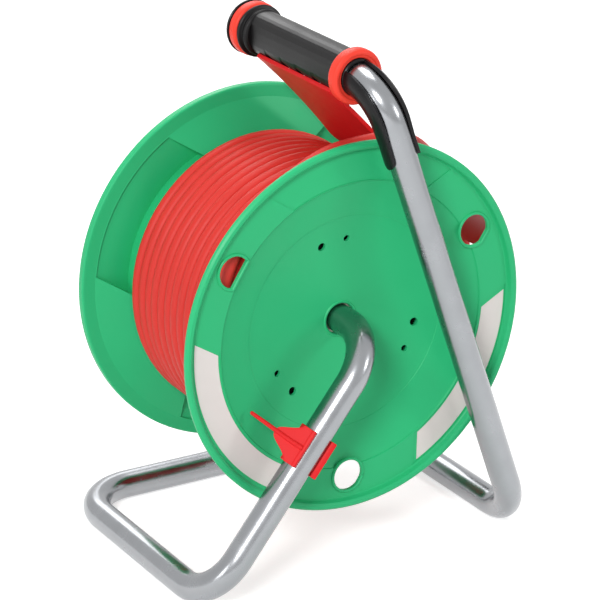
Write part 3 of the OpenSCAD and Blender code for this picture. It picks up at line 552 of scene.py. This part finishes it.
# %% Front flange
FRONT_OUTLINE = [
    (70.4, -51.5), (75, -51.5), (104, -66.6), (137.4, -79.2), (138.4, -80.6), (139.6, -84.0), (141.2, -84.9),
    (143.3, -84.9), (144.9, -83.3), (144.9, -78.4), (144.2, -77.5), (142.9, -77.2), (134.6, -76.2),
    (104, -64.0), (75, -48.9), (70.4, -48.9)]
FRONT_FIELDS = (148.5, 28.5, -90.0)
front = turned("front_flange_shell", eased(FRONT_OUTLINE, 0.8), 240)


def field(r0, r1, middle, half, turns=40):
    """The outline of a field between two straight mould lines either side of a direction."""
    spread = [math.degrees(math.asin(half / r)) for r in (r0, r1)]
    points = [polar(r1, middle + spread[1] * (2 * k / turns - 1)) for k in range(turns + 1)]
    points += [polar(r0, middle - spread[0] * (2 * k / turns - 1)) for k in range(turns + 1)]
    return points


def field_side(middle, side):
    """A straight side of a field: a sheet from its floor up into the cone's wall."""
    a = math.radians(middle)

    def place(u, v):
        along, across = 82.0 + 39.2 * u, 60.7 * side
        top = -65.3 - 0.39 * (math.hypot(along, across) - 104)
        z = -78.8 + (top + 78.8) * v
        return (DRUM.x + along * math.cos(a) - across * math.sin(a), DRUM.y - z,
                DRUM.z + along * math.sin(a) + across * math.cos(a))
    return place


floors = []
for i, middle in enumerate(FRONT_FIELDS):
    cut(front, prism(f"front_field_{i}", field(105.5, 134.0, middle, 60), -77.6, -40))
    ground = prism(f"front_floor_{i}", field(103.0, 134.9, middle, 61), -79.9, -77.5)
    floors.append(soft_edges(ground, 0.5 * MM))
    floors.append(prism(f"front_wall_{i}", field(103.0, 105.6, middle, 61), -79.0, -64.4))
    for side in (1, -1):
        floors.append(thicken(skin(f"front_side_{i}_{side}", 20, 4, field_side(middle, side)), 1.8, 0))
front = joined(front, *floors)
front.name = "front_flange_shell"
done(front, GREEN, "drum", "drum_green", "front_flange", smooth=28)

# %% [markdown]
# ## The winding
# The cable is one helix. The step of each turn is a little more than its diameter, so
# the turns lie side by side with a thin dark line between them.

# %% Winding
PITCH, TURNS, WIND_Z0, PER_TURN = 9.8, 12, -59.9, 72


def wander(k, rate, phase):
    """A slow drift, so that no two turns lie quite alike."""
    t = k / PER_TURN
    return 0.6 * math.sin(rate * t + phase) + 0.4 * math.sin(2.7 * rate * t + 2 * phase)


helix = [on_drum(LAYER_R - 0.25 + 0.35 * wander(k, 4.1, 0.4), 360 * k / PER_TURN,
                 WIND_Z0 + PITCH * k / PER_TURN + 0.28 * wander(k, 5.3, 1.9))
         for k in range(TURNS * PER_TURN + 1)]
winding = pipe("cable_winding", helix, 4.85 * MM, 4)
done(winding, CABLE_RED, "drum", "cable_red", "cable_layer", smooth=60)

# %% [markdown]
# ## The handle
# The grip is a rubber sleeve with a round top, two flat sides that meet it in a ridge,
# and shallow finger grooves below. A grid is wrapped round the tube and each point is
# placed by its angle and its station along the handle.

# %% Grip
GRIP_Y = (-61.0, 71.0)
# the section: a low crown between two ridges, flat sides that lean in, a round belly
HALF_SECTION = [(0, 16.9), (3.2, 16.7), (6.3, 15.9), (8.8, 14.5), (10.6, 12.6), (12.9, 9.6), (13.3, 4.5),
                (13.2, -1.5), (12.9, -6.5), (11.6, -10.2), (8.8, -13.6), (5.0, -15.6), (0, -16.2)]
SECTION = [Vector((x, z, 0)) for x, z in HALF_SECTION + [(-x, z) for x, z in HALF_SECTION[-2:0:-1]]]
PER_SIDE = 6
ROUND = []
for k, p in enumerate(SECTION):
    q = SECTION[(k + 1) % len(SECTION)]
    ROUND += [p.lerp(q, t / PER_SIDE) for t in range(PER_SIDE)]
GROOVES_Y, GROOVE_PITCH, GROOVE_DEPTH = (-47, 41), 22, 2.3


def finger_step(y):
    """How far the belly is drawn in: each bulge swells slowly towards the near ring
    and ends in a short step."""
    if not GROOVES_Y[0] < y < GROOVES_Y[1]:
        return 0.0
    t = ((y - GROOVES_Y[0]) / GROOVE_PITCH) % 1
    if t >= 0.86:
        return GROOVE_DEPTH
    return GROOVE_DEPTH * (1 - math.sin(math.pi * 0.5 * min(1, (1 - t) / 0.82)))


def grip_point(u, v):
    """u goes round the grip, v along it."""
    y = GRIP_Y[0] + (GRIP_Y[1] - GRIP_Y[0]) * v
    f = (u * len(ROUND)) % len(ROUND)
    p = ROUND[int(f)].lerp(ROUND[(int(f) + 1) % len(ROUND)], f - int(f))
    x, z = p.x, p.y
    if z < 0:
        z += finger_step(y) * min(1, (-z / 15.5)) ** 1.5
    return (STAND_X + x, y, HANDLE_Z + z)


grip = fill_ends(skin("grip_sleeve", len(ROUND), 132, grip_point), 1e-6)


def on_handle(name, outline, steps=96):
    """A part turned about the handle's axis, from (radius, y) pairs in mm."""
    loop = list(outline) + [outline[0]]
    return lathe(name, [Vector((STAND_X + r, y, HANDLE_Z)) * MM for r, y in loop],
                 Vector((STAND_X, 0, HANDLE_Z)) * MM, (0, 1, 0), steps)


COLLAR = [(11.2, 60.0), (15.6, 60.0), (17.2, 60.8), (18.1, 62.0), (18.1, 63.0), (17.2, 63.4), (17.4, 66.0),
          (19.6, 66.6), (20.3, 67.4), (20.3, 68.3), (19.0, 68.7), (19.0, 71.0), (11.2, 71.0)]
grip = joined(grip, on_handle("grip_collar", eased(COLLAR, 0.4)))
grip.name = "grip_sleeve"
done(grip, GRIP_BLACK, "frame", "grip_black", "handle_grip", smooth=32)

# %% Rings and end disc
# radii, and distances from the ring's middle away from the grip
RING_OUTLINE = [(14.3, -5), (19.2, -5), (20.4, -4.2), (21.0, -2.6), (21.0, 2.2), (20.3, 3.9), (18.6, 4.9),
                (17.0, 5.0), (16.6, 4.4), (14.9, 4.2), (14.3, 3.6)]
RINGS = [("near_ring", NEAR_RING_Y, -1, "ring_near"), ("far_ring", FAR_RING_Y, 1, "ring_far")]
for name, y, away, node in RINGS:
    ring = on_handle(name, eased([(r, y + d * away) for r, d in RING_OUTLINE], 0.9, 4), 120)
    done(ring, RING_RED, "frame", "ring_red", node)
DISC = [(0, 81), (20.6, 81), (21.3, 81.6), (21.3, 82.4), (20.2, 83.3), (8, 83.5), (7, 83.1), (0, 83.1)]
disc = on_handle("grip_end_disc", eased(DISC, 0.4))
done(disc, BLACK, "frame", "black_plastic", "handle_end_cap")

# %% [markdown]
# ## The fork on the handle's bend
# A sleeve inside the near ring ends in two prongs that follow the tube's bend and keep
# the handle from turning. Each prong is a curved strip that narrows to a rounded tip;
# a red rib backs the bend on the drum's side.

# %% Fork
LEG_DIR = (Vector((140, 0, 11)) - Vector((0, 0, HANDLE_Z))).normalized()
BEND_R = 30.0
BEND_ARC = BEND_R * math.pi / 2
BEND_Y = HANDLE_LEG_Y + BEND_R


def bend_frame(s):
    """Centre and outward direction of the tube, s mm after the bend begins."""
    if s < 0:
        return Vector((STAND_X, BEND_Y - s, HANDLE_Z)), -LEG_DIR
    if s < BEND_ARC:
        t = s / BEND_R
        out = -LEG_DIR * math.cos(t) + Vector((0, -1, 0)) * math.sin(t)
        return Vector((STAND_X, BEND_Y, HANDLE_Z)) + LEG_DIR * BEND_R + out * BEND_R, out
    return Vector((STAND_X, HANDLE_LEG_Y, HANDLE_Z)) + LEG_DIR * (BEND_R + s - BEND_ARC), Vector((0, -1, 0))


SIDE = LEG_DIR.cross(Vector((0, 1, 0)))
PRONG_END, PRONG_TIP = BEND_ARC + 32, 5


def prong_place(sign):
    """The sheet of one prong: u runs down the tube, v round it."""
    def place(u, v):
        s = -2 + (PRONG_END + 2) * u
        left = PRONG_END - s
        half = 52 - 22 * min(1, max(0, s / PRONG_END)) ** 0.7
        if left < PRONG_TIP:
            half *= math.sqrt(max(0.02, 1 - ((PRONG_TIP - left) / PRONG_TIP) ** 2))
        centre, out = bend_frame(s)
        a = math.radians((v - 0.5) * 2 * half)
        r = 13.7 + 0.7 * math.sin(math.pi * min(1, s / 60 if s > 0 else 0))
        return centre + (SIDE * sign * math.cos(a) + out * math.sin(a)) * r
    return place


fork = []
for sign in (1, -1):
    prong = skin(f"prong_{sign}", 60, 14, prong_place(sign))
    thicken(prong, 2.5, -1.0)
    fork.append(soft_edges(prong, 0.7 * MM, 3, 50))
SLEEVE = [(11.2, -61), (14.1, -61), (14.1, -70.5), (13.2, -71.6), (11.9, -71.6), (11.2, -71)]
fork = joined(on_handle("fork_sleeve", eased(SLEEVE, 0.5)), *fork)
fork.name = "handle_fork_shell"
done(fork, BLACK, "frame", "black_plastic", "handle_fork", "fork_prongs", smooth=40)


def rib_place(u, v):
    """A thin red rib on the drum's side of the bend, widest under the ring."""
    s = -4 + 58 * u
    centre, out = bend_frame(s)
    height = 5.0 * (1 - u) ** 1.3 + 0.4
    a = (v - 0.5) * 2
    return centre - out * (11.3 + height - 0.8 * a * a) + SIDE * (a * 4.6 * (1 - 0.4 * u))


rib = skin("handle_rib", 40, 8, rib_place)
thicken(rib, 1.5, 0)
soft_edges(rib, 0.6 * MM, 3, 50)
done(rib, RING_RED, "frame", "ring_red")

# %% [markdown]
# ## The drum brake
# A red clip snaps round the axle leg. A web leaves it at a tangent and narrows to a
# finger whose tip rests in the dish. Lips along the mouth let a thumb open it.

# %% Brake clip
LEG_DOWN = (Vector((-140, 0, 11)) - Vector((-1, 0, 191))).normalized()
ALONG, ACROSS, OUTY = -LEG_DOWN, Vector((-LEG_DOWN.z, 0, LEG_DOWN.x)), Vector((0, 1, 0))
CLIP_O = Vector((DRUM.x, LEG_Y, 191)) + LEG_DOWN * 95
CLIP_IN, CLIP_T, CLIP_L = 11.05, 3.0, 30.0
MOUTH, WRAP, WEB_DIR = -34, 248, 124


def clip_at(x, y, z):
    """A point beside the leg: across it, along Y and up it."""
    return CLIP_O + ACROSS * x + OUTY * y + ALONG * z


def ring_place(u, v):
    """The clip's outer face: u goes round the leg from the mouth, v up it."""
    p = polar(CLIP_IN + CLIP_T, MOUTH + WRAP * u)
    return clip_at(p.x, p.y, CLIP_L * (v - 0.5))


clasp = thicken(skin("clip_ring", 48, 6, ring_place), CLIP_T, -1.0)
WEB_X, WEB_N = polar(1, WEB_DIR), polar(1, WEB_DIR + 90)


def web_at(t, n, z):
    """A point of the web: t out along it, n off the leg, z up the leg."""
    p = WEB_X * t + WEB_N * n
    return clip_at(p.x, p.y, z)


# how far out along the web, and half its width there
WEB = [(-1.5, 15.0), (6.6, 15.0), (9, 12.0), (12, 9.9), (15.4, 8.1), (19, 6.3), (22, 4.6), (23.6, 3.2),
       (24.2, 1.6)]
SPINE_FROM, SPINE_TO, SPINE_TIP = -1.0, 48.0, 1.6


def web_half(t):
    """Half the web's width at a distance out along it."""
    for (t0, h0), (t1, h1) in zip(WEB, WEB[1:]):
        if t <= t1:
            return h0 + (h1 - h0) * (t - t0) / (t1 - t0)
    return WEB[-1][1]


def web_place(u, v):
    """The web's middle sheet: u runs out along it, v across it."""
    t = WEB[0][0] + (WEB[-1][0] - WEB[0][0]) * u
    return web_at(t, CLIP_IN + 3.4, web_half(t) * (2 * v - 1))


def spine_place(u, v):
    """The finger's spine: round in section and tapered to a blunt tip."""
    t = SPINE_FROM + (SPINE_TO - SPINE_FROM) * u
    past = max(0.0, SPINE_TIP - (SPINE_TO - t)) / SPINE_TIP
    r = (2.1 - 0.7 * u) * math.sqrt(max(0.0, 1 - past ** 2))
    a = math.tau * v
    deep = 2.9 - 1.1 * u
    return web_at(t, CLIP_IN + 4.6 + deep * r / 1.75 * math.sin(a), r * math.cos(a) + 2.2 * max(0, u - 0.25))


def off_leg(p):
    """A flat direction of the clip as a direction in space."""
    return ACROSS * p.x + OUTY * p.y


web = thicken(skin("clip_web", 40, 12, web_place), 3.0, 0)
spine = fill_ends(skin("clip_spine", 60, 20, spine_place), 2e-5)
bead = block("clip_bead", web_at(-1.4, CLIP_IN + 3.0, 0), off_leg(WEB_X), off_leg(WEB_N), ALONG,
             (3.4, 4.6, CLIP_L + 0.4), 0.9)
RX, RY = polar(1, MOUTH), polar(1, MOUTH + 90)
lip = block("clip_lip", CLIP_O + off_leg(RX * 13.9 - RY * 0.4), off_leg(RX), off_leg(RY), ALONG,
            (4.6, 2.4, CLIP_L + 0.4), 0.8)
thumb = block("clip_thumb", CLIP_O + off_leg(RX * 15.2 + RY * 1.2), off_leg(RX), off_leg(RY), ALONG,
              (2.6, 3.6, 2.2), 0.6)
clip = joined(clasp, web, spine, bead, lip, thumb)
clip.name = "brake_clip_shell"
soft_edges(clip, 0.4 * MM, 2, 60)
done(clip, GUIDE_RED, "brake", "guide_red", "brake_clip", smooth=35)

# %% [markdown]
# ## The cable guide
# A bent plate hangs from the grip and leads the cable off the drum. Its line is drawn
# from the side and extruded along the grip; the corners at its free end are then
# rounded by drawing the rows in.

# %% Guide
GUIDE_Y = (-50.0, 53.0)
GUIDE_CORNER, GUIDE_ROWS, GUIDE_WALL = 50.0, 24, 3.0



def bent_line(start, heading, runs, steps=10):
    """Points along arcs given as (length, turn), starting at a heading."""
    points, p, a = [Vector(start)], Vector(start), heading
    for length, turning in runs:
        for k in range(steps):
            d = turning / steps
            a += d / 2
            p = p + Vector((math.cos(math.radians(a)), math.sin(math.radians(a)))) * length / steps
            a += d / 2
            points.append(p.copy())
    return points


guide_line = bent_line((STAND_X - 11, 368.6), -42, [(95, -9), (22, 28), (78, -18), (46, -46)])
stations = [0.0]
for a, b in zip(guide_line, guide_line[1:]):
    stations.append(stations[-1] + (b - a).length)


def station(co):
    """How far along the guide's line a corner of the plate lies."""
    gaps = [(p.x * MM - co.x) ** 2 + (p.y * MM - co.z) ** 2 for p in guide_line]
    return stations[gaps.index(min(gaps))]


strip = only(chain("cable_guide_plate", [Vector((p.x, GUIDE_Y[0], p.y)) * MM for p in guide_line]))
bpy.ops.object.mode_set(mode="EDIT")
bpy.ops.mesh.select_all(action="SELECT")
row = (0, (GUIDE_Y[1] - GUIDE_Y[0]) / GUIDE_ROWS * MM, 0)
for k in range(GUIDE_ROWS):
    bpy.ops.mesh.extrude_region_move(TRANSFORM_OT_translate={"value": row})
bpy.ops.object.mode_set(mode="OBJECT")
for v in strip.data.vertices:
    left = stations[-1] - station(v.co)
    if left < GUIDE_CORNER:
        inset = GUIDE_CORNER - math.sqrt(max(0, GUIDE_CORNER ** 2 - (GUIDE_CORNER - left) ** 2))
        lo, hi = GUIDE_Y[0] + inset, GUIDE_Y[1] - inset * 0.6
        t = (v.co.y / MM - GUIDE_Y[0]) / (GUIDE_Y[1] - GUIDE_Y[0])
        v.co.y = (lo + (hi - lo) * t) * MM
close_up(strip)
mod = strip.modifiers.new("plate", "SOLIDIFY")
mod.thickness, mod.offset = GUIDE_WALL * MM, 0
only(strip)
bpy.ops.object.modifier_apply(modifier="plate")
soft_edges(strip, 0.8 * MM, 3, 50)
done(strip, GUIDE_RED, "frame", "guide_red", "cable_guide", smooth=40)

# %% [markdown]
# ## Materials on the CAD nodes that stay
# Parts that are plain in reality keep their CAD shape.

# %% Carried-over nodes
STAYING = [
    (STEEL, ["axle_washer", "axle_cross_pin", "plug_pins", "plug_earth_strips", "panel_screws", "lid_pins",
             "lid_springs", "cutout_spring", "knob_bolt"]),
    (BLACK, ["axle_collar", "axle_end_plug", "drum_screws", "cutout_housing", "crank_knob"]),
    (SOCKET_BLACK, ["socket_panel", "socket_cup_1", "socket_cup_2", "socket_cup_3", "lid_1", "lid_2",
                    "lid_3"]),
    (GREEN, ["barrel"]), (CABLE_RED, ["winding_core"]), (GUIDE_RED, ["cutout_button"]),
    (IVORY, ["rear_bush", "inner_bush"]), (BRASS, ["socket_contacts", "earth_clips"]),
]
for material, nodes in STAYING:
    for node in nodes:
        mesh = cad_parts[node].data
        mesh.materials.clear()
        mesh.materials.append(material)
print("CAD nodes with a finish:", sum(len(nodes) for _, nodes in STAYING))

# %% [markdown]
# ## Floor, backdrop and lamps
# A pale floor catches a soft shadow under a white backdrop. Large lamps to the left, to
# the right, above and behind give the broad white streaks that bent tube shows.

# %% Stage
FLOOR_LIFT, AMBIENT = 0.62, 0.30



def stage_material(name, colour, lift):
    """Plain diffuse, lifted towards white for what the camera and reflections see."""
    mat = bpy.data.materials.new(name)
    mat.use_nodes = True
    nodes, links = mat.node_tree.nodes, mat.node_tree.links
    shader = nodes["Principled BSDF"]
    shader.inputs["Base Color"].default_value = (*colour, 1)
    shader.inputs["Roughness"].default_value = 0.9
    shader.inputs["Specular IOR Level"].default_value = 0.0
    rays = nodes.new("ShaderNodeLightPath")
    seen = nodes.new("ShaderNodeMath")
    seen.operation = "MAXIMUM"
    links.new(rays.outputs["Is Camera Ray"], seen.inputs[0])
    links.new(rays.outputs["Is Glossy Ray"], seen.inputs[1])
    scaled = nodes.new("ShaderNodeMath")
    scaled.operation = "MULTIPLY"
    scaled.inputs[1].default_value = lift
    links.new(seen.outputs[0], scaled.inputs[0])
    glow = nodes.new("ShaderNodeEmission")
    glow.inputs["Color"].default_value = (1, 1, 1, 1)
    links.new(scaled.outputs[0], glow.inputs["Strength"])
    both = nodes.new("ShaderNodeAddShader")
    links.new(shader.outputs[0], both.inputs[0])
    links.new(glow.outputs[0], both.inputs[1])
    links.new(both.outputs[0], nodes["Material Output"].inputs["Surface"])
    return mat


bpy.ops.object.select_all(action="DESELECT")
bpy.ops.mesh.primitive_plane_add(size=16, location=(0, 0, -0.0002))
floor = bpy.context.object
floor.name = "floor"
floor.data.materials.append(stage_material("pale floor", (0.80, 0.80, 0.80), FLOOR_LIFT))

world = bpy.data.worlds.new("studio")
bpy.context.scene.world = world
world.use_nodes = True
wn, wl = world.node_tree.nodes, world.node_tree.links
backdrop = wn["Background"]
backdrop.inputs["Color"].default_value = (1, 1, 1, 1)
rays = wn.new("ShaderNodeLightPath")
seen = rays.outputs["Is Camera Ray"]
for kind in ("Is Glossy Ray", "Is Transmission Ray"):
    both = wn.new("ShaderNodeMath")
    both.operation = "MAXIMUM"
    wl.new(seen, both.inputs[0])
    wl.new(rays.outputs[kind], both.inputs[1])
    seen = both.outputs[0]
pick = wn.new("ShaderNodeMapRange")
pick.inputs["To Min"].default_value = AMBIENT
pick.inputs["To Max"].default_value = 1.0
wl.new(seen, pick.inputs["Value"])
wl.new(pick.outputs["Result"], backdrop.inputs["Strength"])


def lamp(name, place, aim, size, power):
    """A square soft lamp aimed at a point, both places and the size in metres."""
    bpy.ops.object.light_add(type="AREA", location=place)
    obj = bpy.context.object
    obj.name = name
    obj.data.shape = "SQUARE"
    obj.data.size = size
    obj.data.energy = power
    obj.rotation_mode = "QUATERNION"
    obj.rotation_quaternion = (Vector(aim) - Vector(place)).to_track_quat("-Z", "Y")
    return obj


lamp("key", (-1.6, -1.5, 1.5), (0, 0, 0.18), 0.6, 38)
lamp("low left", (-2.0, -0.5, 0.5), (0, 0, 0.25), 0.5, 4)
lamp("fill", (1.5, -1.7, 0.9), (0, 0, 0.18), 0.5, 9)
lamp("top", (0.2, 0.4, 2.0), (0, 0, 0.18), 0.9, 16)
lamp("behind", (0.45, 1.75, 1.5), (0, 0, 0.3), 1.0, 10)

# %% [markdown]
# ## Look
# The view transform stays plain.

# %% Finish
bpy.context.scene.view_settings.view_transform = "Standard"
